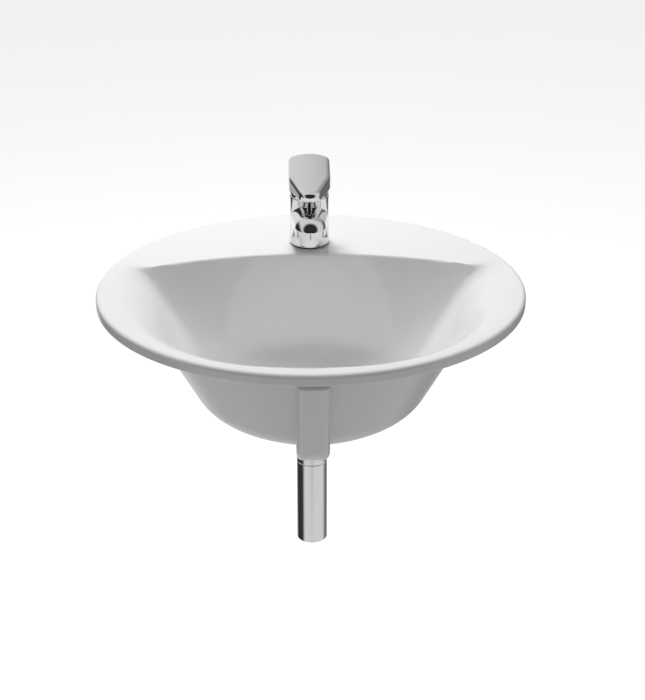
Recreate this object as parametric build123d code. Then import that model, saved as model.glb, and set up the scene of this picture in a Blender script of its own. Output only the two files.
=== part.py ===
from build123d import *
from math import acos, atan2, cos, degrees, hypot, radians, sin, sqrt, tan
import os

os.makedirs("parts", exist_ok=True)

# Oval basin that hangs on its rim, with a single-lever tap on its ledge and a push-open waste.
# The origin is the middle of the oval, in the plane that the underside of the rim rests on.
# +Z is up, the front of the basin faces -Y, and +X is on the right. Lengths are in millimetres.

# Clearances between pieces
running_gap = 0.05
seat_gap = 0.05
thread_gap = 0.1
loose_gap = 0.3

# Basin, rim
rim_length = 520.0
rim_width = 440.0
rim_height = 15.0
rim_top_round = 5.0
rim_foot_round = 3.0
front_rim_slope = 2.0
side_rim_slope = 5.0

# Basin, bowl: its edge is a squared oval closed at the rear by a flat arc, and its floor is an oval
ledge_width = 123.0
front_rim_width = 25.0
side_rim_width = 53.0
corner_setback = 38.0
corner_blend = 12.0
bowl_squareness = 2.3
bowl_depth = 145.0
drain_setback = 127.0
floor_half_length = 116.0
floor_half_width = 102.0
floor_slope = 3.0
wall_thickness = 9.0

# Basin, lip where the rim turns down into the bowl, and foot where the wall meets the floor; the
# wide lip of the front and sides starts at that distance from the rim's outer edge
front_rim_flat = 15.0
side_rim_flat = 8.0
rear_lip_round = 4.0
ledge_trim = 0.02
web_fade = 30.0
front_foot_round = 50.0
side_foot_round = 58.0
rear_foot_round = 45.0

# Basin, drain boss and overflow duct
boss_radius = 36.0
boss_depth = 34.0
throat_radius = 23.0
throat_trim = 3.0
overflow_width = 26.0
overflow_gap = 7.0
overflow_shell = 7.0
overflow_edge_round = 9.0
overflow_slot_length = 24.0
overflow_slot_height = 8.0
overflow_drop = 32.0
duct_corner_round = 34.0
duct_top_drop = 6.0

# Tap, place on the ledge
tap_setback = 86.0
tap_hole_radius = 17.5
tap_seat_radius = 24.5
tap_seat_depth = 2.0

# Tap, column; heights are above the ledge
column_base_radius = 25.5
column_waist_radius = 24.0
column_top_radius = 24.6
column_height = 66.0
gasket_thickness = 1.5
gasket_inset = 1.5
base_edge_round = 1.2

# Tap, spout; reach is from the tap's axis to the aerator's axis
spout_reach = 98.0
spout_root_half_width = 23.5
spout_tip_radius = 19.0
spout_root_low = 16.0
spout_root_high = 50.5
spout_tip_low = 56.0
spout_tip_high = 83.0
spout_top_round = 14.0

# Tap, waterways
inlet_spread = 6.5
inlet_setback = 6.5
inlet_thread_radius = 4.6
inlet_thread_depth = 12.0
inlet_bore_radius = 3.5
outlet_forward = 8.0
waterway_radius = 4.5
waterway_low = 22.0
waterway_tip = 68.0

# Tap, cartridge chamber
chamber_floor = 30.0
chamber_radius = 18.0
nut_seat_height = 56.0
nut_thread_radius = 21.0

# Tap, cartridge
cartridge_radius = 17.7
cartridge_flange_radius = 20.5
cartridge_flange_thickness = 3.0
cartridge_cavity_radius = 15.5
cartridge_base_thickness = 6.0
port_radius = 3.2
seal_radius = 4.6
seal_section = 1.6
disc_thickness = 3.5
moving_disc_radius = 12.0
disc_rest_offset = 3.1
carrier_plate_thickness = 5.0
carrier_block_half_width = 6.0
carrier_block_half_length = 6.0
guide_neck_radius = 11.0
guide_neck_top = 72.0
housing_top_thickness = 2.0

# Tap, lever stem: it tilts on a pin, and its ball end pushes the carrier
pin_height = 67.0
pin_radius = 2.0
pin_length = 21.0
lift_angle = 25.0
ball_drop = 14.5
ball_radius = 4.0
stem_radius = 3.0
stem_square = 9.0
stem_top = 98.0

# Tap, retaining nut and dome
nut_hex_width = 36.0
nut_hex_height = 3.5
nut_bore_radius = 13.0
dome_radius = 23.3
dome_wall = 1.3
dome_opening_angle = 40.0

# Tap, handle
handle_radius = 25.7
handle_hollow_radius = 24.0
handle_rear_reach = 26.0
handle_rear_radius = 52.0
handle_corner_round = 9.0
lever_straight = 36.0
lever_shoulder_round = 40.0
lever_reach = 88.0
lever_tip_radius = 14.0
lever_tip_low = 91.0
lever_root_low = 86.0
lever_tip_high = 103.0
handle_rear_high = 111.5
handle_crown_radius = 130.0
handle_top_round = 6.0
handle_foot_round = 2.5
skirt_front_low = 70.0
skirt_rear_low = 80.0
socket_top = 99.0
screw_height = 95.0
screw_radius = 2.5
screw_length = 8.0
plug_radius = 3.5
plug_length = 4.0

# Tap, fixing under the ledge
stud_forward = 9.0
stud_radius = 4.0
stud_depth = 12.0
stud_below_ledge = 45.0
horseshoe_radius = 23.0
horseshoe_slot_width = 30.0
horseshoe_rubber_thickness = 3.0
horseshoe_plate_thickness = 2.5
fixing_nut_width = 13.0
fixing_nut_height = 7.0

# Tap, aerator
aerator_radius = 12.0
aerator_height = 9.0
aerator_lip_height = 2.0
aerator_bore_radius = 9.6
aerator_exit_radius = 8.6
aerator_exit_chamfer = 0.5
aerator_grid_pitch = 2.2
aerator_grid_hole = 1.6
aerator_washer_thickness = 1.5
aerator_chamber_radius = 8.5

# Waste
flange_radius = 33.0
flange_thickness = 3.0
flange_seal_thickness = 1.2
flange_edge_round = 1.2
flange_seal_inset = 2.0
mouth_flare = 5.0
thread_radius = 20.95
waste_bore_radius = 18.0
waste_thread_end = 185.0
tube_radius = 19.0
joint_depth = 208.0
tube_end_depth = 322.0
tube_wall = 1.5
joint_chamfer = 0.6
spigot_length = 12.0
spigot_wall = 2.0
spigot_gap = 0.5
spigot_root = 4.0
o_ring_section = 1.6
slot_count = 4
slot_width = 14.0
slot_height = 9.0
bridge_drop = 22.0
bridge_height = 6.0
bridge_width = 5.0
hub_radius = 9.0
core_radius = 6.0
core_length = 20.0
core_floor = 2.0
core_collar_radius = 8.0
core_collar_height = 3.0
throat_washer_radius = 28.0
throat_washer_thickness = 4.0
throat_washer_chamfer = 1.5
backnut_width = 52.0
backnut_corner_radius = 28.6
backnut_height = 10.0
backnut_collar = 2.0

# Push-open plug
plug_cap_radius = 31.0
plug_cap_edge = 3.0
plug_cap_crown = 2.5
plug_cap_edge_round = 0.8
plug_seal_proud = 1.35
plug_boss_radius = 6.0
plug_boss_height = 6.0
plug_stem_radius = 3.0
plug_travel = 8.0
stem_held_length = 9.0
plug_seal_ring_radius = 25.0
plug_seal_section = 3.0
spring_radius = 4.8
spring_wire = 1.0
spring_turns = 5

# Places worked out from the sizes above
bowl_half_length = rim_length / 2 - side_rim_width
bowl_front_y = front_rim_width - rim_width / 2
bowl_rear_y = rim_width / 2 - ledge_width
bowl_corner_y = bowl_rear_y - corner_setback
rear_edge_radius = (bowl_half_length**2 + corner_setback**2) / (2 * corner_setback)
drain_y = bowl_rear_y - drain_setback
tap_y = rim_width / 2 - tap_setback

# Heights worked out from the sizes above
ledge_z = rim_height
bowl_floor_z = rim_height - bowl_depth
boss_bottom_z = bowl_floor_z - boss_depth
flange_top_z = bowl_floor_z + (flange_radius - throat_radius) * tan(radians(floor_slope))
flange_bottom_z = flange_top_z - flange_thickness
flange_seat_z = flange_bottom_z - flange_seal_thickness - seat_gap
overflow_mid_z = bowl_floor_z - wall_thickness - overflow_gap / 2
bridge_top_z = flange_bottom_z - bridge_drop
ball_height = pin_height - ball_drop
disc_travel = ball_drop * radians(lift_angle)


def ramp(low, high, share):
    """A smooth step from low to high as share goes from 0 to 1."""
    share = min(max(share, 0.0), 1.0)
    return low + (high - low) * share * share * (3 - 2 * share)


def tube(radius, low, high, bore=0.0):
    """An upright cylinder between two heights, with a bore where one is given."""
    made = Pos(0, 0, (low + high) / 2) * Cylinder(radius, high - low)
    if bore > 0:
        made -= Pos(0, 0, (low + high) / 2) * Cylinder(bore, high - low + 2)
    return made


def hexagon(width, low, high):
    """An upright hexagonal prism of that width across its flats."""
    return extrude(Plane.XY.offset(low) * RegularPolygon(width / 2, 6, major_radius=False), high - low)


def ring(radius, section, height):
    """A round ring whose section is that thick, with its middle at a height."""
    return Pos(0, 0, height) * Torus(radius, section / 2)


def bore_along(points, radius):
    """A round waterway through points, with a ball at each bend."""
    made = None
    for start, end in zip(points, points[1:]):
        line = Vector(*end) - Vector(*start)
        piece = Plane(origin=start, z_dir=line) * Pos(0, 0, line.length / 2) * Cylinder(radius, line.length)
        piece += Pos(*end) * Sphere(radius)
        made = piece if made is None else made + piece
    return made


# Basin


def rim_reach(turn):
    """Distance from the drain's axis to the rim's outer oval, at a turn in radians."""
    a, b = rim_length / 2, rim_width / 2
    square = (cos(turn) / a) ** 2 + (sin(turn) / b) ** 2
    middle = drain_y * sin(turn) / b**2
    rest = (drain_y / b) ** 2 - 1
    return (sqrt(middle**2 - square * rest) - middle) / square


def bowl_reach(turn):
    """Distance from the drain's axis to the edge of the bowl, found by halving the gap."""
    length = bowl_corner_y - bowl_front_y
    near, far = 0.0, rim_length
    while far - near > 1e-7:
        reach = (near + far) / 2
        x, y = reach * cos(turn), drain_y + reach * sin(turn)
        across = (abs(x) / bowl_half_length) ** bowl_squareness
        along = (abs(y - bowl_corner_y) / length) ** bowl_squareness
        beyond_side = ((across + along) ** (1 / bowl_squareness) - 1) * bowl_half_length
        beyond_rear = hypot(x, y - bowl_rear_y + rear_edge_radius) - rear_edge_radius
        inside = 2 ** (beyond_side / corner_blend * 2) + 2 ** (beyond_rear / corner_blend * 4) < 1
        near, far = (reach, far) if inside else (near, reach)
    return near


def meeting(point, angle, other, other_angle):
    """Where two lines meet, each given by a point and an angle in radians."""
    across = cos(angle) * sin(other_angle) - sin(angle) * cos(other_angle)
    gap = (other[0] - point[0]) * sin(other_angle) - (other[1] - point[1]) * cos(other_angle)
    return (point[0] + cos(angle) * gap / across, point[1] + sin(angle) * gap / across)


def rounded(before, peak, after, radius):
    """The start, middle and end of the round that a corner gets."""
    first = (Vector(*before) - Vector(*peak)).normalized()
    second = (Vector(*after) - Vector(*peak)).normalized()
    half = acos(first.dot(second)) / 2
    centre = Vector(*peak) + (first + second).normalized() * (radius / sin(half))
    middle = centre + (Vector(*peak) - centre).normalized() * radius
    reach = radius / tan(half)
    return Vector(*peak) + first * reach, middle, Vector(*peak) + second * reach


corner_turn = degrees(atan2(bowl_corner_y - drain_y, bowl_half_length))


def beyond_corner(turn):
    """How many degrees a turn lies past the bowl's corner, towards the rear."""
    return abs(turn + 90) - 90 - corner_turn


def wall_shape(turn):
    """How far the slice at a turn in degrees belongs to the sides and to the rear, from 0 to 1."""
    return ramp(0, 1, abs(turn + 90) / 50), ramp(0, 1, (beyond_corner(turn) + 3) / 6)


def wall_line(turn):
    """The bowl's edge on the rim and the angle of the wall below it, at a turn in degrees."""
    at = radians(turn)
    side, rear = wall_shape(turn)
    slope = ramp(ramp(front_rim_slope, side_rim_slope, side), 0, rear)
    bowl = bowl_reach(at)
    height = rim_height - (rim_reach(at) - bowl) * tan(radians(slope))
    foot = 1 / hypot(cos(at) / floor_half_length, sin(at) / floor_half_width)
    return (bowl, height), atan2(height - bowl_floor_z, bowl - foot)


def outer_wall_line(edge, angle, thickness):
    """A point at that depth behind the wall, at the height of the rim's underside."""
    return (edge[0] - edge[1] / tan(angle) + thickness / sin(angle), 0)


def basin_section(turn):
    """An upright slice of the ceramic, from the throat out to the rim, at a turn in degrees."""
    side, rear = wall_shape(turn)
    edge, angle = wall_line(turn)
    reach = rim_reach(radians(turn))
    flat = ramp(front_rim_flat, side_rim_flat, side)
    side_lip = (reach - edge[0] - flat) / tan(angle / 2)
    lip = ramp(side_lip, rear_lip_round, rear)
    web = ramp(max(rear_lip_round, side_lip - wall_thickness), rear_lip_round, beyond_corner(turn) / web_fade)
    foot = ramp(ramp(front_foot_round, side_foot_round, side), rear_foot_round, rear)
    fall = radians(floor_slope)
    inner = throat_radius - throat_trim
    floor = (inner, bowl_floor_z)
    floor_below = (inner, bowl_floor_z - wall_thickness / cos(fall))
    foot_corner = meeting(floor, fall, edge, angle)
    wall_top = outer_wall_line(edge, angle, wall_thickness)
    foot_below = meeting(floor_below, fall, wall_top, angle)
    rim_top, rim_low = (reach, rim_height), (reach, 0)
    rounds = [
        rounded(floor, foot_corner, edge, foot),
        rounded(foot_corner, edge, rim_top, lip),
        rounded(edge, rim_top, rim_low, rim_top_round),
        rounded(rim_top, rim_low, wall_top, rim_foot_round),
        rounded(rim_low, wall_top, foot_below, web),
        rounded(wall_top, foot_below, floor_below, foot + wall_thickness * 0.7),
    ]

    def placed(point):
        across, up = (point[0], point[1]) if isinstance(point, tuple) else (point.X, point.Y)
        return Vector(across * cos(radians(turn)), drain_y + across * sin(radians(turn)), up)

    edges, last = [], floor
    for start, middle, end in rounds:
        edges.append(Line(placed(last), placed(start)))
        edges.append(ThreePointArc(placed(start), placed(middle), placed(end)))
        last = end
    edges.append(Line(placed(last), placed(floor_below)))
    edges.append(Line(placed(floor_below), placed(floor)))
    return Face(Wire(edges))


def basin_shell():
    """The right half is lofted through slices that crowd towards the bowl's corner, trimmed level
    where the loft swells over the ledge, then mirrored."""
    steps = 8
    forward = [corner_turn - (corner_turn + 90) * (k / steps) ** 1.7 for k in range(steps, -1, -1)]
    backward = [corner_turn + (90 - corner_turn) * (k / steps) ** 1.7 for k in range(1, steps + 1)]
    turns = forward + backward
    turns = [-180 - turns[1]] + turns + [180 - turns[-2]]
    half = loft([basin_section(turn) for turn in turns])
    top = rim_height + ledge_trim
    half &= Pos(rim_length / 2, 0, top - rim_width) * Box(rim_length, 2 * rim_width, 2 * rim_width)
    return half + mirror(half, Plane.YZ)


def duct(width, depth, thickness, top, end, edge_round):
    """A band that runs down behind the front wall and in under the floor, at a depth from the bowl."""
    edge, angle = wall_line(-90)
    fall = radians(floor_slope)
    wall_point = outer_wall_line(edge, angle, depth)
    below = (0, bowl_floor_z - depth / cos(fall))
    corner = meeting(below, fall, wall_point, angle)
    head = (wall_point[0] + top / tan(angle), top)
    tail = (end, below[1] + end * tan(fall))
    start, middle, finish = rounded(head, corner, tail, duct_corner_round)
    side = Plane(origin=(0, drain_y, 0), x_dir=(0, -1, 0), z_dir=(-1, 0, 0))
    path = side * Wire([Line(head, start), ThreePointArc(start, middle, finish), Line(finish, tail)])
    section = RectangleRounded(width, thickness, edge_round)
    return sweep(Plane(origin=path @ 0, x_dir=(1, 0, 0), z_dir=path % 0) * section, path=path)


def overflow_slot():
    """The slot that lets water from the bowl's front wall into the duct."""
    edge, angle = wall_line(-90)
    height = rim_height - overflow_drop
    out = edge[0] - (edge[1] - height) / tan(angle)
    face = Plane(origin=(0, drain_y - out, height), x_dir=(1, 0, 0), z_dir=(0, -sin(angle), -cos(angle)))
    slot = face * SlotOverall(overflow_slot_length, overflow_slot_height)
    return extrude(slot, wall_thickness + overflow_gap / 2) + extrude(slot, -wall_thickness)


def basin():
    shell = basin_shell()
    drain = Pos(0, drain_y, 0)
    outside = wall_thickness + overflow_gap + overflow_shell
    shell += duct(
        width=overflow_width + 2 * overflow_shell,
        depth=(wall_thickness / 2 + outside) / 2,
        thickness=outside - wall_thickness / 2,
        top=-duct_top_drop,
        end=boss_radius / 2,
        edge_round=overflow_edge_round,
    )
    shell += drain * tube(boss_radius, boss_bottom_z, bowl_floor_z - wall_thickness / 2)
    shell -= duct(
        width=overflow_width,
        depth=wall_thickness + overflow_gap / 2,
        thickness=overflow_gap,
        top=-duct_top_drop - overflow_shell,
        end=throat_radius / 2,
        edge_round=overflow_gap / 3,
    )
    shell -= overflow_slot()
    shell -= drain * tube(throat_radius, boss_bottom_z - 1, ledge_z)
    shell -= drain * tube(flange_radius + loose_gap, flange_seat_z, ledge_z)
    shell -= Pos(0, tap_y, 0) * tube(tap_hole_radius, -1, rim_height + 1)
    shell -= Pos(0, tap_y, 0) * tube(tap_seat_radius, -1, tap_seat_depth)
    return shell


# Tap. Each piece is made round the tap's own axis, with heights above the ledge, then put in place.


def column():
    curve = ThreePointArc(
        (column_base_radius, gasket_thickness + seat_gap),
        (column_waist_radius, column_height * 0.7),
        (column_top_radius, column_height),
    )
    lines = [
        curve,
        Line(curve @ 1, (0, column_height)),
        Line((0, column_height), (0, gasket_thickness + seat_gap)),
        Line((0, gasket_thickness + seat_gap), curve @ 0),
    ]
    made = revolve(Plane.XZ * make_face(lines), Axis.Z)
    rims = made.edges().filter_by(GeomType.CIRCLE)
    return fillet(rims, base_edge_round)


def spout():
    """Side view and plan view of the spout, cut out of each other, with rounded edges."""
    front = -spout_reach - spout_tip_radius
    flat_end = -spout_reach + spout_tip_radius
    side = Polyline(
        (0, spout_root_high),
        (front, spout_tip_high),
        (front, spout_tip_low),
        (flat_end, spout_tip_low),
        (-column_waist_radius, spout_root_low),
        (0, spout_root_low),
        close=True,
    )
    plane = Plane(origin=(0, 0, 0), x_dir=(0, 1, 0), z_dir=(1, 0, 0))
    blank = extrude(plane * make_face(side), spout_root_half_width, both=True)
    lean = atan2(spout_root_half_width - spout_tip_radius, spout_reach)
    touch = (spout_tip_radius * cos(lean), -spout_reach - spout_tip_radius * sin(lean))
    plan = [
        Line((spout_root_half_width, 0), touch),
        ThreePointArc(touch, (0, front), (-touch[0], touch[1])),
        Line((-touch[0], touch[1]), (-spout_root_half_width, 0)),
        Line((-spout_root_half_width, 0), (spout_root_half_width, 0)),
    ]
    blank &= extrude(make_face(plan), column_height * 2)
    slope = (spout_tip_high - spout_root_high) / (spout_reach + spout_tip_radius)

    def on_top(edge):
        return edge.center().Y < -1 and abs(edge.center().Z - spout_root_high + edge.center().Y * slope) < 1

    return fillet([edge for edge in blank.edges() if on_top(edge)], spout_top_round)


def tap_body():
    made = column() + spout()
    made -= tube(chamber_radius, chamber_floor, column_height)
    made -= tube(nut_thread_radius, nut_seat_height, column_height + 1)
    bottom = gasket_thickness + seat_gap
    for side in (-1, 1):
        inlet = Pos(side * inlet_spread, inlet_setback, 0)
        made -= inlet * tube(inlet_thread_radius, bottom - 1, bottom + inlet_thread_depth)
        made -= inlet * tube(inlet_bore_radius, bottom, chamber_floor + 1)
    made -= Pos(0, -stud_forward, 0) * tube(stud_radius + thread_gap, bottom - 1, bottom + stud_depth)
    made -= Pos(0, -outlet_forward, 0) * tube(waterway_radius, waterway_low, chamber_floor + 1)
    bends = [
        (0, -outlet_forward, waterway_low),
        (0, -chamber_radius + 1, waterway_low + 1.5),
        (0, -chamber_radius - 12, waterway_low + 11),
        (0, -spout_reach + aerator_chamber_radius / 2, waterway_tip),
    ]
    made -= bore_along(bends, waterway_radius)
    tip = Pos(0, -spout_reach, 0)
    seat = spout_tip_low + aerator_height - aerator_lip_height + aerator_washer_thickness
    made -= tip * tube(aerator_radius, spout_tip_low - 1, seat)
    made -= tip * tube(aerator_chamber_radius, seat - 1, waterway_tip + waterway_radius)
    return made


def tap_base_gasket():
    return tube(column_base_radius - gasket_inset, seat_gap, gasket_thickness, tap_hole_radius - 1)


def fixing_stud():
    top = gasket_thickness + seat_gap + stud_depth - 1
    return Pos(0, -stud_forward, 0) * tube(stud_radius, -rim_height - stud_below_ledge, top)


def horseshoe(top, thickness):
    """A plate under the ledge, open at the rear for the hoses and holed for the stud."""
    made = tube(horseshoe_radius, top - thickness, top)
    slot = Pos(0, horseshoe_radius, top - thickness / 2) * Box(
        horseshoe_slot_width, 2 * horseshoe_radius, thickness + 2
    )
    made -= slot
    return made - Pos(0, -stud_forward, 0) * tube(stud_radius + loose_gap, top - thickness - 1, top + 1)


horseshoe_rubber_top = tap_seat_depth - rim_height - seat_gap
horseshoe_plate_top = horseshoe_rubber_top - horseshoe_rubber_thickness - seat_gap
fixing_nut_top = horseshoe_plate_top - horseshoe_plate_thickness - seat_gap


def fixing_nut():
    made = hexagon(fixing_nut_width, fixing_nut_top - fixing_nut_height, fixing_nut_top)
    made -= tube(stud_radius + thread_gap, fixing_nut_top - fixing_nut_height - 1, fixing_nut_top + 1)
    return Pos(0, -stud_forward, 0) * made


ports = [
    (-inlet_spread, inlet_setback),
    (inlet_spread, inlet_setback),
    (0, -outlet_forward),
]
base_low = chamber_floor + seal_section * 0.2
base_high = base_low + cartridge_base_thickness
fixed_disc_low = base_high + seat_gap
moving_disc_low = fixed_disc_low + disc_thickness + seat_gap
carrier_low = moving_disc_low + disc_thickness + seat_gap
carrier_plate_high = carrier_low + carrier_plate_thickness
housing_high = nut_seat_height + seat_gap + cartridge_flange_thickness
housing_cavity_high = housing_high - housing_top_thickness


def seal_set(middle):
    """Three separate rings, one round each port."""
    rings = [Pos(x, y, 0) * ring(seal_radius, seal_section, middle) for x, y in ports]
    return Compound(children=rings)


lower_seal_height = chamber_floor + seal_section / 2 + seat_gap / 2
upper_seal_height = fixed_disc_low - seal_section / 2 - seat_gap / 2


def cartridge_base():
    made = tube(cartridge_radius, base_low, base_high)
    for x, y in ports:
        port = Pos(x, y, 0)
        half = seal_section / 2 + seat_gap
        made -= port * tube(port_radius, base_low - 1, base_high + 1)
        made -= port * tube(seal_radius + half, base_low - 1, lower_seal_height + half, seal_radius - half)
        made -= port * tube(seal_radius + half, upper_seal_height - half, base_high + 1, seal_radius - half)
    return made


def fixed_disc():
    made = tube(cartridge_cavity_radius - loose_gap, fixed_disc_low, fixed_disc_low + disc_thickness)
    for x, y in ports:
        made -= Pos(x, y, 0) * tube(port_radius, fixed_disc_low - 1, fixed_disc_low + disc_thickness + 1)
    return made


def moving_disc():
    """Its blind pocket joins the inlet ports to the outlet port when the lever is lifted."""
    made = tube(moving_disc_radius, moving_disc_low, moving_disc_low + disc_thickness)
    pocket = SlotOverall(moving_disc_radius, port_radius * 2)
    made -= extrude(Plane.XY.offset(moving_disc_low) * pocket, disc_thickness * 0.6)
    return Pos(0, disc_rest_offset, 0) * made


def disc_carrier():
    made = Pos(0, disc_rest_offset, 0) * tube(moving_disc_radius, carrier_low, carrier_plate_high)
    block_high = ball_height + ball_radius / 2
    made += Pos(0, 0, (carrier_low + block_high) / 2) * Box(
        2 * carrier_block_half_width, 2 * carrier_block_half_length, block_high - carrier_low
    )
    slot_low = ball_height - ball_radius - loose_gap
    slot = Pos(0, 0, (slot_low + block_high + 1) / 2) * Box(
        2 * (ball_radius + loose_gap), 2 * (ball_radius + loose_gap), block_high + 1 - slot_low
    )
    return made - slot


def cartridge_housing():
    made = tube(cartridge_radius, fixed_disc_low, housing_high)
    made += tube(cartridge_flange_radius, nut_seat_height + seat_gap, housing_high)
    made -= tube(cartridge_cavity_radius, fixed_disc_low - 1, housing_cavity_high)
    return made - tube(guide_neck_radius + loose_gap, housing_cavity_high - 1, housing_high + 1)


across_pin = Pos(0, 0, pin_height) * Rot(0, 90, 0)


def lever_guide():
    low = carrier_plate_high + loose_gap
    high = housing_cavity_high - running_gap
    made = tube(cartridge_cavity_radius - loose_gap, low, high) + tube(guide_neck_radius, low, guide_neck_top)
    back = carrier_block_half_length + loose_gap
    front = -carrier_block_half_length - disc_travel - loose_gap
    made -= Pos(0, (back + front) / 2, low) * Box(
        2 * (carrier_block_half_width + loose_gap), back - front, 2 * (ball_height + ball_radius + 1 - low)
    )
    fork_low = ball_height + ball_radius
    made -= Pos(0, 0, (fork_low + guide_neck_top + 1) / 2) * Box(
        stem_square + 2 * loose_gap, 2 * guide_neck_radius + 1, guide_neck_top + 1 - fork_low
    )
    return made - across_pin * Cylinder(pin_radius + running_gap, 3 * guide_neck_radius)


def spindle():
    """Square above the pin, round below it, with a ball end in the carrier's slot."""
    square_low = pin_height - stem_square / 2
    made = Pos(0, 0, (square_low + stem_top) / 2) * Box(stem_square, stem_square, stem_top - square_low)
    made += tube(stem_radius, ball_height, square_low + 1)
    made += Pos(0, 0, ball_height) * Sphere(ball_radius)
    return made - across_pin * Cylinder(pin_radius + running_gap, 2 * stem_square)


def spindle_pin():
    return across_pin * Cylinder(pin_radius, pin_length)


def retaining_nut():
    low = housing_high + seat_gap
    made = tube(nut_thread_radius - thread_gap, low, column_height - 1)
    made += hexagon(nut_hex_width, column_height - 2, column_height + nut_hex_height)
    return made - tube(nut_bore_radius, low - 1, column_height + nut_hex_height + 1)


def dome_cover():
    """A slice of a sphere round the pin, open at the top for the tilting stem."""
    inner = dome_radius - dome_wall
    made = Pos(0, 0, pin_height) * Sphere(dome_radius)
    made += tube(dome_radius, column_height + seat_gap, pin_height)
    made -= Pos(0, 0, pin_height) * Sphere(inner)
    made -= tube(inner, column_height - 1, pin_height)
    made -= tube(dome_radius + 1, pin_height - 2 * dome_radius, column_height + seat_gap)
    opening = dome_radius * sin(radians(dome_opening_angle))
    return made - tube(opening, pin_height, pin_height + 2 * dome_radius)


def lever_plan():
    """Seen from above: a flat arc at the rear, straight sides, and a front that narrows to a round tip."""
    tip_y = lever_tip_radius - lever_reach
    rear_middle = handle_rear_reach - handle_rear_radius
    corner_y = rear_middle + sqrt(handle_rear_radius**2 - handle_radius**2)
    beyond = hypot(handle_radius, lever_straight + tip_y)
    turn = atan2(-lever_straight - tip_y, handle_radius) - acos(lever_tip_radius / beyond)
    touch = (lever_tip_radius * cos(turn), tip_y + lever_tip_radius * sin(turn))
    outline = [
        ThreePointArc((handle_radius, corner_y), (0, handle_rear_reach), (-handle_radius, corner_y)),
        Line((-handle_radius, corner_y), (-handle_radius, -lever_straight)),
        Line((-handle_radius, -lever_straight), (-touch[0], touch[1])),
        ThreePointArc((-touch[0], touch[1]), (0, -lever_reach), touch),
        Line(touch, (handle_radius, -lever_straight)),
        Line((handle_radius, -lever_straight), (handle_radius, corner_y)),
    ]
    face = make_face(outline)
    corners = face.vertices().group_by(Axis.Y)
    face = fillet(corners[-1], handle_corner_round)
    shoulders = [v for v in face.vertices() if abs(v.Y + lever_straight) < seat_gap]
    return fillet(shoulders, lever_shoulder_round)


def lever_handle():
    """A long rounded slab with a skirt, hollowed by a sphere that clears the dome."""
    made = extrude(lever_plan(), 2 * handle_rear_high)
    side = Polyline(
        (-lever_reach, lever_tip_low),
        (-lever_reach, lever_tip_high),
        (handle_rear_reach, handle_rear_high),
        (handle_rear_reach, lever_root_low),
        (-handle_radius, lever_root_low),
        close=True,
    )
    plane = Plane(origin=(0, 0, 0), x_dir=(0, 1, 0), z_dir=(1, 0, 0))
    made &= extrude(plane * make_face(side), 2 * handle_radius, both=True)
    rise = atan2(handle_rear_high - lever_tip_high, handle_rear_reach + lever_reach)
    middle = (handle_rear_high + lever_tip_high) / 2
    crown = Pos(0, (handle_rear_reach - lever_reach) / 2, middle - handle_crown_radius / cos(rise))
    made &= crown * Rot(90 + degrees(rise), 0, 0) * Cylinder(handle_crown_radius, 3 * lever_reach)
    level = (lever_tip_low + lever_tip_high) / 2
    made = fillet([edge for edge in made.edges() if edge.center().Z > level + 1], handle_top_round)
    made = fillet([edge for edge in made.edges() if edge.center().Z < level - 4], handle_foot_round)
    skirt = tube(handle_radius, skirt_front_low, lever_root_low + 2 * handle_foot_round)
    lean = degrees(atan2(skirt_rear_low - skirt_front_low, 2 * handle_radius))
    size = 4 * handle_radius
    below = Pos(0, 0, (skirt_front_low + skirt_rear_low) / 2) * Rot(lean, 0, 0) * Pos(0, 0, -size / 2)
    made += skirt - below * Box(size, size, size)
    made -= Pos(0, 0, pin_height) * Sphere(handle_hollow_radius)
    socket_low = pin_height + handle_hollow_radius / 2
    made -= Pos(0, 0, (socket_low + socket_top) / 2) * Box(
        stem_square + 2 * seat_gap, stem_square + 2 * seat_gap, socket_top - socket_low
    )
    hole = Pos(0, 0, screw_height) * Rot(-90, 0, 0)
    made -= hole * tube(screw_radius + thread_gap, 0, handle_radius + 1)
    return made - hole * tube(plug_radius + seat_gap, handle_radius - plug_length, handle_radius + 1)


def grub_screw():
    start = stem_square / 2 + seat_gap
    made = tube(screw_radius, start, start + screw_length)
    made -= hexagon(screw_radius, start + screw_length / 2, start + screw_length + 1)
    return Pos(0, 0, screw_height) * Rot(-90, 0, 0) * made


def index_plug():
    made = tube(plug_radius, handle_radius - plug_length + seat_gap, handle_radius - seat_gap)
    made += tube(screw_radius, handle_radius - plug_length * 2, handle_radius - plug_length / 2)
    return Pos(0, 0, screw_height) * Rot(-90, 0, 0) * made


aerator_low = spout_tip_low - aerator_lip_height
aerator_high = aerator_low + aerator_height


def aerator_housing():
    made = tube(aerator_radius - running_gap, aerator_low, aerator_high)
    made = chamfer(made.edges().group_by(Axis.Z)[0], aerator_exit_chamfer)
    made -= tube(aerator_bore_radius, aerator_low + aerator_lip_height, aerator_high + 1)
    made -= tube(aerator_exit_radius, aerator_low - 1, aerator_high + 1)
    return Pos(0, -spout_reach, 0) * made


def aerator_insert():
    """A flow former with a grid of square holes."""
    radius = aerator_bore_radius - seat_gap
    low = aerator_low + aerator_lip_height + seat_gap
    made = tube(radius, low, aerator_high - seat_gap)
    pitch, hole = aerator_grid_pitch, aerator_grid_hole
    cells = [
        Pos(i * pitch, j * pitch, low) * Box(hole, hole, 2 * aerator_height)
        for i in range(-3, 4)
        for j in range(-3, 4)
        if hypot(i, j) * pitch < aerator_exit_radius - hole
    ]
    made -= cells
    return Pos(0, -spout_reach, 0) * made


def aerator_washer():
    low = aerator_high + seat_gap
    high = low + aerator_washer_thickness - 2 * seat_gap
    return Pos(0, -spout_reach, 0) * tube(aerator_radius - loose_gap, low, high, aerator_chamber_radius)


# Waste. Each piece is made round the drain's axis at its own height, then moved to the drain.


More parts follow.
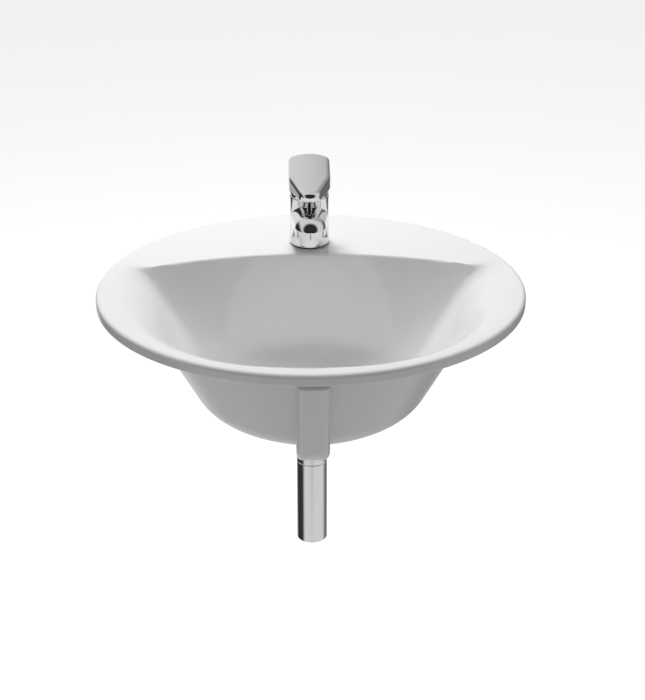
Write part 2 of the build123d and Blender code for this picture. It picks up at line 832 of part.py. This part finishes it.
def waste_body():
    joint = -joint_depth
    thread_end = -waste_thread_end
    made = tube(thread_radius, thread_end, flange_bottom_z + flange_thickness / 2)
    flange = tube(flange_radius, flange_bottom_z, flange_top_z)
    made += fillet(flange.edges().group_by(Axis.Z)[-1], flange_edge_round)
    made += tube(tube_radius, joint, thread_end)
    made = chamfer(made.edges().group_by(Axis.Z)[0], joint_chamfer)
    made -= tube(waste_bore_radius, joint + spigot_length, flange_top_z + 1)
    made -= tube(spigot_outside + thread_gap, joint - 1, joint + spigot_length + 1)
    wide = waste_bore_radius + mouth_flare
    made -= Pos(0, 0, flange_top_z - mouth_flare / 2) * Cone(waste_bore_radius, wide, mouth_flare)
    for k in range(slot_count):
        window = Pos(thread_radius, 0, overflow_mid_z) * Box(thread_radius, slot_width, slot_height)
        made -= Rot(0, 0, 360 / slot_count * (k + 0.5)) * window
    bridge_low = bridge_top_z - bridge_height
    bridge = tube(hub_radius, bridge_low, bridge_top_z)
    for k in range(3):
        arm = Pos(waste_bore_radius / 2, 0, (bridge_low + bridge_top_z) / 2) * Box(
            waste_bore_radius + 2, bridge_width, bridge_height
        )
        bridge += Rot(0, 0, 30 + 120 * k) * arm
    bridge &= tube(waste_bore_radius + 1, bridge_low, bridge_top_z)
    made += bridge
    return made - tube(core_radius + thread_gap, bridge_low - 1, bridge_top_z + 1)


spigot_outside = tube_radius - tube_wall - spigot_gap


def flange_seal():
    low, high = flange_seat_z + seat_gap / 2, flange_bottom_z - seat_gap / 2
    return tube(flange_radius - flange_seal_inset, low, high, thread_radius + loose_gap)


washer_top = boss_bottom_z - seat_gap
backnut_top = washer_top - throat_washer_thickness - seat_gap


def throat_washer():
    low = washer_top - throat_washer_thickness
    made = tube(throat_washer_radius, low, washer_top)
    made = chamfer(made.edges().group_by(Axis.Z)[0], throat_washer_chamfer)
    return made - tube(thread_radius + loose_gap, low - 1, washer_top + 1)


def waste_backnut():
    low = backnut_top - backnut_height
    made = hexagon(backnut_width, low, backnut_top) & tube(backnut_corner_radius, low, backnut_top)
    made += tube(backnut_width / 2, backnut_top - backnut_collar, backnut_top)
    return made - tube(thread_radius + thread_gap, low - 1, backnut_top + 1)


plug_low = flange_top_z + plug_seal_proud
plug_seal_height = flange_top_z + plug_seal_section / 2 + seat_gap


def plug_cap():
    """A shallow dome with a threaded boss and a groove for its seal."""
    high = plug_low + plug_cap_edge
    made = tube(plug_cap_radius, plug_low, high + plug_cap_crown)
    crown = (plug_cap_radius**2 + plug_cap_crown**2) / (2 * plug_cap_crown)
    made &= Pos(0, 0, high + plug_cap_crown - crown) * Sphere(crown)
    rims = made.edges().filter_by(GeomType.CIRCLE)
    made = fillet(rims, plug_cap_edge_round)
    groove = plug_seal_section / 2 + seat_gap
    made -= ring(plug_seal_ring_radius, 2 * groove, plug_seal_height)
    made += tube(plug_boss_radius, plug_low - plug_boss_height, plug_low + 1)
    return made - tube(plug_stem_radius + thread_gap, plug_low - plug_boss_height - 1, plug_low)


def plug_seal():
    return ring(plug_seal_ring_radius, plug_seal_section, plug_seal_height)


core_high = bridge_top_z + core_collar_height + seat_gap


def click_core():
    made = tube(core_radius, core_high - core_length, core_high)
    made += tube(core_collar_radius, core_high - core_collar_height, core_high)
    return made - tube(plug_stem_radius + running_gap, core_high - core_length + core_floor, core_high + 1)


def plug_stem():
    """It slides in the core, and its foot stays held in the core at the top of the travel."""
    foot = core_high - plug_travel - stem_held_length
    return tube(plug_stem_radius, foot, plug_low - seat_gap)


def plug_spring():
    low = core_high + seat_gap + spring_wire / 2
    high = plug_low - plug_boss_height - seat_gap - spring_wire / 2
    path = Helix((high - low) / spring_turns, high - low, spring_radius)
    coil = sweep(Plane(origin=path @ 0, z_dir=path % 0) * Circle(spring_wire / 2), path=path)
    return Pos(0, 0, low) * coil


def tailpiece():
    joint, end = -joint_depth, -tube_end_depth
    made = tube(tube_radius, end, joint - seat_gap)
    made = chamfer(made.edges().group_by(Axis.Z)[-1], joint_chamfer)
    made = fillet(made.edges().group_by(Axis.Z)[0], tube_wall * 0.4)
    made += tube(spigot_outside, joint - spigot_root / 2, joint + spigot_length - 1)
    made -= tube(tube_radius - tube_wall, end - 1, joint - spigot_root)
    made -= tube(spigot_outside - spigot_wall, joint - spigot_root - 1, joint + spigot_length)
    half = o_ring_section / 2
    inner = spigot_outside - o_ring_section + thread_gap
    return made - tube(spigot_outside + 1, o_ring_height - half, o_ring_height + half, inner)


o_ring_height = -joint_depth + spigot_length / 2


def tail_o_ring():
    radius = spigot_outside - o_ring_section / 2 + thread_gap
    return ring(radius, o_ring_section - 2 * seat_gap, o_ring_height)


tap_place = Pos(0, tap_y, ledge_z)
drain_place = Pos(0, drain_y, 0)

nodes = {
    "basin": basin(),
    "tap_body": tap_place * tap_body(),
    "tap_base_gasket": tap_place * tap_base_gasket(),
    "fixing_stud": tap_place * fixing_stud(),
    "horseshoe_rubber": tap_place * horseshoe(horseshoe_rubber_top, horseshoe_rubber_thickness),
    "horseshoe_plate": tap_place * horseshoe(horseshoe_plate_top, horseshoe_plate_thickness),
    "fixing_nut": tap_place * fixing_nut(),
    "cartridge_seals": tap_place * seal_set(lower_seal_height),
    "cartridge_base": tap_place * cartridge_base(),
    "disc_seals": tap_place * seal_set(upper_seal_height),
    "fixed_disc": tap_place * fixed_disc(),
    "moving_disc": tap_place * moving_disc(),
    "disc_carrier": tap_place * disc_carrier(),
    "cartridge_housing": tap_place * cartridge_housing(),
    "lever_guide": tap_place * lever_guide(),
    "spindle": tap_place * spindle(),
    "spindle_pin": tap_place * spindle_pin(),
    "retaining_nut": tap_place * retaining_nut(),
    "dome_cover": tap_place * dome_cover(),
    "lever_handle": tap_place * lever_handle(),
    "grub_screw": tap_place * grub_screw(),
    "index_plug": tap_place * index_plug(),
    "aerator_housing": tap_place * aerator_housing(),
    "aerator_insert": tap_place * aerator_insert(),
    "aerator_washer": tap_place * aerator_washer(),
    "waste_body": drain_place * waste_body(),
    "flange_seal": drain_place * flange_seal(),
    "throat_washer": drain_place * throat_washer(),
    "waste_backnut": drain_place * waste_backnut(),
    "plug_cap": drain_place * plug_cap(),
    "plug_seal": drain_place * plug_seal(),
    "plug_stem": drain_place * plug_stem(),
    "click_core": drain_place * click_core(),
    "plug_spring": drain_place * plug_spring(),
    "tailpiece": drain_place * tailpiece(),
    "tail_o_ring": drain_place * tail_o_ring(),
}

for name, shape in nodes.items():
    export_step(shape, f"parts/{name}.step")
    print(name, round(shape.volume), "mm3")
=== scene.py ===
from math import cos, pi, radians, sin, tau

import bmesh
import bpy
from mathutils import Matrix, Vector


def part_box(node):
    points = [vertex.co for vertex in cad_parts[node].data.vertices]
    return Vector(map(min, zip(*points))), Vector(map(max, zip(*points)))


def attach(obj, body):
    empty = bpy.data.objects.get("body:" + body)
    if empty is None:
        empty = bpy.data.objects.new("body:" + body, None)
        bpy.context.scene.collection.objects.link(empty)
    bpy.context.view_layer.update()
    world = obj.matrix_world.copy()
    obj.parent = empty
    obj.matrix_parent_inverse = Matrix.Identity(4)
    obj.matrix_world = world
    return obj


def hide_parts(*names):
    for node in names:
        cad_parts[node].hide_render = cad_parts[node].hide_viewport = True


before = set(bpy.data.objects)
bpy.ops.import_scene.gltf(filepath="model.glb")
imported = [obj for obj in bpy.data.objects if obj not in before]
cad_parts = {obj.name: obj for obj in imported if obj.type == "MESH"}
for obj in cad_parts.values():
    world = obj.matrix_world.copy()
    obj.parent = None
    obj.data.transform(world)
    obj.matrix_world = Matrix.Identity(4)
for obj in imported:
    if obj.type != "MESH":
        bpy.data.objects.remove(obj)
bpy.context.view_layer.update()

# Basin
# One casting of white vitreous china, glazed all over but for the ground ring on the rim's underside
# and the foot of the drain boss, which are bare, cream and matt.


class Link:
    """A shader socket. Arithmetic on links and numbers adds the Math nodes that work it out."""

    def __init__(self, finish, socket):
        self.finish = finish
        self.socket = socket

    def math(self, operation, *values):
        return self.finish.node("Math", {"operation": operation}, dict(enumerate(values)))

    def __add__(self, other):
        return self.math("ADD", self, other)

    def __radd__(self, other):
        return self.math("ADD", other, self)

    def __rsub__(self, other):
        return self.math("SUBTRACT", other, self)

    def __mul__(self, other):
        return self.math("MULTIPLY", self, other)

    def __rmul__(self, other):
        return self.math("MULTIPLY", other, self)

    def between(self, low, high):
        """A smooth step from 0 at low to 1 at high."""
        settings = {"interpolation_type": "SMOOTHSTEP"}
        return self.finish.node("MapRange", settings, {"Value": self, "From Min": low, "From Max": high})


class Finish:
    """A material on one Principled shader, with its nodes added as they are named."""

    def __init__(self, name, **constants):
        self.material = bpy.data.materials.new(name)
        self.material.use_nodes = True
        self.tree = self.material.node_tree
        self.shader = self.tree.nodes["Principled BSDF"]
        for socket, value in constants.items():
            self.feed(self.shader.inputs[socket.replace("_", " ")], value)

    def feed(self, socket, value):
        if isinstance(value, Link):
            self.tree.links.new(value.socket, socket)
        else:
            socket.default_value = value

    def node(self, kind, settings, sockets, output=0):
        made = self.tree.nodes.new("ShaderNode" + kind)
        for name, value in settings.items():
            setattr(made, name, value)
        for name, value in sockets.items():
            self.feed(made.inputs[name], value)
        return Link(self, made.outputs[output])

    def larger(self, first, second):
        return self.node("Math", {"operation": "MAXIMUM"}, {0: first, 1: second})

    def place(self):
        """Where a point of the piece is, in metres, in the piece's own frame."""
        return self.node("TexCoord", {}, {}, "Object")

    def axis(self, vector, letter):
        return self.node("SeparateXYZ", {}, {"Vector": vector}, letter)

    def noise(self, size, detail=2.0, stretch=(1, 1, 1)):
        """Soft random values from 0 to 1, with spots of about that size in metres."""
        vector = self.node("VectorMath", {"operation": "MULTIPLY"}, {0: self.place(), 1: stretch})
        return self.node("TexNoise", {}, {"Vector": vector, "Scale": 1 / size, "Detail": detail})

    def blend(self, share, first, second):
        """A colour that goes from the first to the second as share goes from 0 to 1."""
        return self.node("Mix", {"data_type": "RGBA"}, {0: share, 6: first, 7: second}, 2)

    def bump(self, height, depth):
        """Lets a value from 0 to 1 raise the surface by up to depth metres."""
        sockets = {"Height": height, "Distance": depth, "Strength": 1.0}
        self.feed(self.shader.inputs["Normal"], self.node("Bump", {}, sockets))

    def colour(self, value):
        self.feed(self.shader.inputs["Base Color"], value)

    def roughness(self, value):
        self.feed(self.shader.inputs["Roughness"], value)


def grey(value, warmth=0.0):
    """A neutral colour, warmed or cooled a little."""
    return (value * (1 + warmth), value, value * (1 - warmth), 1)


def finish_node(finish, *names):
    """Gives CAD nodes that finish."""
    for name in names:
        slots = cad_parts[name].data.materials
        slots.clear()
        slots.append(finish.material)


glaze = Finish("white_glaze", Specular_IOR_Level=0.5, IOR=1.52)
height = glaze.axis(glaze.place(), "Z")
facing = glaze.axis(glaze.node("NewGeometry", {}, {}, "Normal"), "Z")
ground_edge = 0.0002
glaze_edge = 0.0006
underneath = (facing * -1).between(0.9, 0.98)
seat = underneath * height.between(-glaze_edge, -ground_edge) * (1 - height.between(ground_edge, glaze_edge))
basin_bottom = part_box("basin")[0].z
boss_foot = 1 - height.between(basin_bottom + ground_edge, basin_bottom + glaze_edge)
bare = glaze.larger(seat, boss_foot)
cloud = glaze.noise(0.06, 3.0)
grain = glaze.noise(0.0012, 4.0)
white = glaze.blend(cloud, grey(0.885, 0.002), grey(0.905, 0.004))
biscuit = glaze.blend(grain, grey(0.62, 0.05), grey(0.74, 0.06))
glaze.colour(glaze.blend(bare, white, biscuit))
glaze.roughness((0.05 + 0.05 * cloud) * (1 - bare) + 0.7 * bare)
glaze.bump(glaze.noise(0.009, 1.0) * (1 - bare) + grain * bare, 0.00002)
finish_node(glaze, "basin")

# Tap body
# Brass casting with column and spout in one, ground, polished and chromed bright. Wiping in use leaves
# faint smears and fine scratches. A stud through the tap hole pulls it down on its gasket.
chrome = Finish("polished_chrome", Metallic=1.0)
smear = chrome.noise(0.018, 4.0, (1, 1, 0.5))
scratch = chrome.noise(0.0006, 2.0, (1, 1, 0.05))
chrome.colour(chrome.blend(smear, grey(0.72, -0.004), grey(0.78, -0.002)))
chrome.roughness(0.035 + 0.05 * smear.between(0.45, 0.75) + 0.02 * scratch)
chrome.bump(scratch, 0.0000015)
finish_node(chrome, "tap_body")

# Base gasket
# Ring of moulded black rubber with a dusty bloom, which seals the tap on the ledge.
# It is set in from the column's edge, so only a dark joint shows.
rubber = Finish("black_rubber", Specular_IOR_Level=0.35)
dust = rubber.noise(0.004, 5.0)
rubber.colour(rubber.blend(dust.between(0.35, 0.8), grey(0.022), grey(0.07, 0.02)))
rubber.roughness(0.55 + 0.3 * dust)
rubber.bump(rubber.noise(0.0004, 3.0), 0.00002)
finish_node(rubber, "tap_base_gasket")

# Fixing stud
# Zinc plated steel rod with a rolled M8 thread from end to end, screwed into the tap body.
# Its lower end is chamfered so that the nut starts easily.
steel = Finish("plated_steel", Metallic=1.0)
patch = steel.noise(0.006, 4.0)
steel.colour(steel.blend(patch, grey(0.52, 0.01), grey(0.66, 0.0)))
steel.roughness(0.22 + 0.2 * patch)
steel.bump(steel.noise(0.0003, 2.0, (1, 1, 0.1)), 0.000004)


def screw_thread(name, centre, radius, groove, pitch, low, high, chamfer, bore=0.0):
    """A rod or sleeve whose outside is a V thread; it narrows to the thread's root over the chamfer."""
    around, along = 32, 8
    rings = round((high - low) / pitch * along)

    def circle(reach, z):
        points = []
        for j in range(around):
            turn = tau * j / around
            points.append((centre[0] + reach(j) * cos(turn), centre[1] + reach(j) * sin(turn), z))
        return points

    def sunk(j, z):
        """How far a point of the V thread lies below its crest, as a share of the groove."""
        return abs(2 * ((z / pitch - j / around) % 1) - 1)

    rows = [circle(lambda j: bore, low)]
    for k in range(rings + 1):
        z = low + (high - low) * k / rings
        ends = min(1, (z - low) / chamfer, (high - z) / chamfer)
        rows.append(circle(lambda j: radius - groove * max(sunk(j, z), 1 - ends), z))
    rows.append(circle(lambda j: bore, high))
    faces = []
    for k in range(len(rows)):
        below, above = k * around, (k + 1) % len(rows) * around
        for j in range(around):
            beside = (j + 1) % around
            faces.append((below + j, below + beside, above + beside, above + j))
    made = bmesh.new()
    points = [made.verts.new(point) for row in rows for point in row]
    for face in faces:
        made.faces.new([points[i] for i in face])
    bmesh.ops.remove_doubles(made, verts=made.verts, dist=1e-7)
    bmesh.ops.recalc_face_normals(made, faces=made.faces)
    mesh = bpy.data.meshes.new(name)
    made.to_mesh(mesh)
    made.free()
    piece = bpy.data.objects.new(name, mesh)
    bpy.context.scene.collection.objects.link(piece)
    return piece


stud_pitch = 0.00125
stud_groove = 0.0006
stud_chamfer = 0.0008
low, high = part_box("fixing_stud")
stud = screw_thread(
    name="fixing_stud_threaded",
    centre=((low.x + high.x) / 2, (low.y + high.y) / 2),
    radius=(high.x - low.x) / 2,
    groove=stud_groove,
    pitch=stud_pitch,
    low=low.z,
    high=high.z,
    chamfer=stud_chamfer,
)
stud.data.materials.append(steel.material)
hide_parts("fixing_stud")
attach(stud, "fixed")

# Horseshoe rubber
# Black rubber pad under the ledge, open at the rear for the hoses.
# It keeps the steel off the ceramic and evens out the casting.
finish_node(rubber, "horseshoe_rubber")

# Horseshoe plate
# Zinc plated steel pressing of the same outline, which spreads the nut's pull.
# The stud goes through its hole.
finish_node(steel, "horseshoe_plate")

# Fixing nut
# Hexagon nut turned from brass bar, with fine tool rings and a little tarnish.
# It runs up the stud and clamps plate, rubber and ledge.
brass = Finish("turned_brass", Metallic=1.0)
tarnish = brass.noise(0.008, 4.0)
brass.colour(brass.blend(tarnish.between(0.35, 0.75), (0.62, 0.46, 0.22, 1), (0.40, 0.28, 0.13, 1)))
brass.roughness(0.22 + 0.25 * tarnish)
brass.bump(brass.noise(0.0004, 2.0, (0.05, 0.05, 1)), 0.000006)
finish_node(brass, "fixing_nut")

# Cartridge seals
# Three moulded rubber rings in grooves under the cartridge, one round each port of the tap body.
# The retaining nut squeezes them when it is screwed down.
finish_node(rubber, "cartridge_seals")

# Cartridge base
# Moulded white acetal disc with two inlets and one outlet, and a faint flow pattern.
# It is pressed into the housing and carries the seals on both sides.
acetal = Finish("white_acetal")
flow = acetal.noise(0.005, 2.0, (1, 1, 0.3))
acetal.colour(acetal.blend(flow, grey(0.74, 0.01), grey(0.80, 0.015)))
acetal.roughness(0.35 + 0.15 * flow)
acetal.bump(acetal.noise(0.0005, 2.0), 0.000008)
finish_node(acetal, "cartridge_base")

# Disc seals
# Three moulded rubber rings between the base and the fixed disc, one round each port.
# Their spring keeps the two discs pressed together.
finish_node(rubber, "disc_seals")

# Fixed disc
# Alumina ceramic, sintered and lapped flat.
# The cartridge holds it still over the three ports.
alumina = Finish("lapped_alumina", IOR=1.7)
speck = alumina.noise(0.0008, 4.0)
alumina.colour(alumina.blend(speck, grey(0.78, 0.03), grey(0.86, 0.02)))
alumina.roughness(0.12 + 0.1 * speck)
finish_node(alumina, "fixed_disc")

# Moving disc
# Alumina ceramic, sintered and lapped, with a blind pocket.
# It slides and turns on the fixed disc to open the ports.
finish_node(alumina, "moving_disc")

# Disc carrier
# Moulded grey nylon driver with a slot for the ball end of the lever stem.
# It sits on the moving disc and takes it along.
nylon = Finish("grey_nylon")
spark = nylon.noise(0.0004, 3.0)
nylon.colour(nylon.blend(spark, grey(0.30), grey(0.37)))
nylon.roughness(0.38 + 0.15 * spark)
nylon.bump(spark, 0.00001)
finish_node(nylon, "disc_carrier")

# Cartridge housing
# Moulded white acetal shell that holds the discs together.
# It stands in the tap body's chamber, and the retaining nut holds it down.
finish_node(acetal, "cartridge_housing")

# Lever guide
# Moulded grey nylon rotor that holds the pin of the lever stem.
# It turns in the housing's neck.
finish_node(nylon, "lever_guide")

# Spindle
# Plated steel lever stem, square where the handle grips it and round below, with a ball end.
# The pin holds it in the guide.
finish_node(steel, "spindle")

# Spindle pin
# Plated steel pin through guide and spindle.
# The lever tilts on it.
finish_node(steel, "spindle_pin")

# Retaining nut
# Ring nut with a hexagon, turned from brass and left bare, as the dome covers it.
# It is screwed into the tap body and holds the cartridge down.
finish_node(brass, "retaining_nut")

# Dome cover
# Thin spherical cap of brass, polished and chromed, open at the top for the lever stem.
# It sits over the nut and closes the gap under the handle.
finish_node(chrome, "dome_cover")

# Lever handle
# Zinc die casting, polished and chromed like the tap body.
# Its socket sits on the square of the spindle, where the grub screw holds it.
finish_node(chrome, "lever_handle")

# Grub screw
# Plated steel screw with a hexagon socket, in the rear of the handle.
# Its inner end bites on the spindle.
finish_node(steel, "grub_screw")

# Index plug
# Small plug moulded in the same grey nylon.
# It is pressed into the hole of the grub screw and closes it.
finish_node(nylon, "index_plug")

# Aerator housing
# Turned brass ring, chromed like the spout.
# It is screwed into the spout from below.
finish_node(chrome, "aerator_housing")

# Aerator insert
# Moulded white acetal flow former with a grid of square holes.
# It is dropped into the ring from above.
finish_node(acetal, "aerator_insert")

# Aerator washer
# Flat ring cut from black rubber.
# It lies above the insert and seals the aerator in the spout.
finish_node(rubber, "aerator_washer")

# Waste body
# Turned and chromed brass: a flange with a flared mouth, a threaded tube with overflow slots and a
# bridge across it. The rolled thread shows below the nut.
finish_node(chrome, "waste_body")
waste_crest_radius = 0.02125
waste_groove = 0.0003
waste_pitch = 0.00231
waste_chamfer = 0.0006
waste_core_radius = 0.0209
waste_thread_end = -0.1850
below_nut = 0.0004
low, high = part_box("waste_body")
thread_ring = screw_thread(
    name="waste_thread",
    centre=((low.x + high.x) / 2, (low.y + high.y) / 2),
    radius=waste_crest_radius,
    groove=waste_groove,
    pitch=waste_pitch,
    low=waste_thread_end,
    high=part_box("waste_backnut")[0].z - below_nut,
    chamfer=waste_chamfer,
    bore=waste_core_radius,
)
thread_ring.data.materials.append(chrome.material)
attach(thread_ring, "fixed")

# Flange seal
# Flat ring cut from black rubber.
# It lies under the flange, in the recess of the bowl's floor.
finish_node(rubber, "flange_seal")

# Throat washer
# Moulded black rubber ring, coned on top.
# The nut presses it up against the drain boss, so that it seals the waste from below.
finish_node(rubber, "throat_washer")

# Waste nut
# Large hexagon nut with a collar, turned from brass and left bare.
# It runs up the waste's thread and clamps the waste in the boss.
finish_node(brass, "waste_backnut")

# Plug cap
# Turned brass lid with a shallow dome, polished and chromed.
# It is screwed on the plunger.
finish_node(chrome, "plug_cap")

# Plug seal
# Moulded black rubber ring in a groove under the lid.
# It closes the drain when the plug is down.
finish_node(rubber, "plug_seal")

# Plug stem
# Plated steel plunger under the lid.
# It slides in the push-push core.
finish_node(steel, "plug_stem")

# Push-push core
# Moulded white acetal latch that holds the plug down and lets it go.
# It is screwed in the bridge of the waste body.
finish_node(acetal, "click_core")

# Plug spring
# Coiled steel wire, plated.
# It stands on the core and lifts the lid.
finish_node(steel, "plug_spring")

# Tailpiece
# Brass outlet tube, polished and chromed, with a rounded lower end.
# It is pushed up into the waste body.
finish_node(chrome, "tailpiece")

# Tail ring
# Moulded black rubber ring in the tube's groove.
# It seals the tube in the waste body.
finish_node(rubber, "tail_o_ring")

# Floor and backdrop
# A plain pale floor, as far under the rim as a room's floor is. It catches the shadow and goes on to
# the horizon, and it is lifted to near white where the camera sees it.
rim_above_floor = 0.85
floor_reach = 30.0

floor_mesh = bpy.data.meshes.new("floor")
corners = [(-1, -1), (1, -1), (1, 1), (-1, 1)]
floor_points = [(x * floor_reach, y * floor_reach, -rim_above_floor) for x, y in corners]
floor_mesh.from_pydata(floor_points, [], [(0, 1, 2, 3)])
floor = bpy.data.objects.new("floor", floor_mesh)
bpy.context.scene.collection.objects.link(floor)
paint = Finish("floor_paint", Roughness=0.9)
paint.colour(paint.blend(paint.noise(0.5, 2.0), grey(0.80), grey(0.83)))
seen = paint.node("LightPath", {}, {}, "Is Camera Ray")
paint.feed(paint.shader.inputs["Emission Color"], grey(1.0))
lift_to_white = 0.62
paint.feed(paint.shader.inputs["Emission Strength"], seen * lift_to_white)
floor_mesh.materials.append(paint.material)
floor.visible_glossy = False

# Light
# A soft box above and behind, a little to the left, so that the ledge is bright and the bowl's rear
# wall lies in its own shade. The room that gloss reflects has a dark front, where the camera stands,
# dark sides low down, and a rear that darkens to the right.
overhead = bpy.data.lights.new("overhead", "AREA")
overhead.shape = "SQUARE"
overhead.size = 0.7
overhead.energy = 27.0
lamp = bpy.data.objects.new("overhead", overhead)
lamp.location = (-0.2, 0.85, 1.6)
lamp.visible_glossy = False
bpy.context.scene.collection.objects.link(lamp)
lamp.rotation_euler = (Vector((0, 0, 0)) - lamp.location).to_track_quat("-Z", "Y").to_euler()


class Room(Finish):
    """The world, with the same way of adding nodes."""

    def __init__(self):
        self.world = bpy.data.worlds.new("room")
        self.world.use_nodes = True
        self.tree = self.world.node_tree

    def ray(self):
        return self.node("TexCoord", {}, {}, "Generated")

    def facing(self, direction, full, none):
        """1 within the angle full of that direction, and 0 beyond the angle none, in degrees."""
        unit = Vector(direction).normalized()
        share = self.node("VectorMath", {"operation": "DOT_PRODUCT"}, {0: self.ray(), 1: unit}, "Value")
        return share.between(cos(radians(none)), cos(radians(full)))


room = Room()
bpy.context.scene.world = room.world
front = room.facing((0, -0.90, 0.43), 42, 62)
left = room.facing((-0.95, 0.25, -0.25), 28, 50)
right = room.facing((0.75, 0.62, -0.3), 20, 40)
rear_right = room.axis(room.ray(), "X").between(-0.15, 0.5) * room.axis(room.ray(), "Y").between(0.2, 0.6)
room_shine = 0.78
shine = room_shine * (1 - 0.96 * front) * (1 - 0.95 * left) * (1 - 0.6 * right) * (1 - 0.5 * rear_right)
glossy = room.node("LightPath", {}, {}, "Is Glossy Ray")
camera_ray = room.node("LightPath", {}, {}, "Is Camera Ray")
through = room.node("LightPath", {}, {}, "Is Transmission Ray")
fill = 0.29
plain = room.larger(camera_ray, through)
strength = glossy * shine + (1 - glossy) * (plain + (1 - plain) * fill)
background = room.tree.nodes["Background"]
room.feed(background.inputs["Color"], grey(1.0))
room.feed(background.inputs["Strength"], strength)

# Camera
# It stands in front, a step to the left and 28 degrees above the rim, with a long lens.
camera_tilt = radians(28.148)
camera_heading = radians(1.15)
camera_distance = 2.2
camera_aim = Vector((0.0140, -0.1593, 0.0150))
camera_lens = 99.4
lens = bpy.data.cameras.new("camera")
lens.lens = camera_lens
camera = bpy.data.objects.new("camera", lens)
straight = camera_aim - camera_distance * Vector((0, cos(camera_tilt), -sin(camera_tilt)))
camera.location = Matrix.Rotation(-camera_heading, 3, "Z") @ straight
camera.rotation_euler = (pi / 2 - camera_tilt, 0, -camera_heading)
bpy.context.scene.collection.objects.link(camera)
bpy.context.scene.camera = camera
bpy.context.scene.view_settings.view_transform = "Standard"
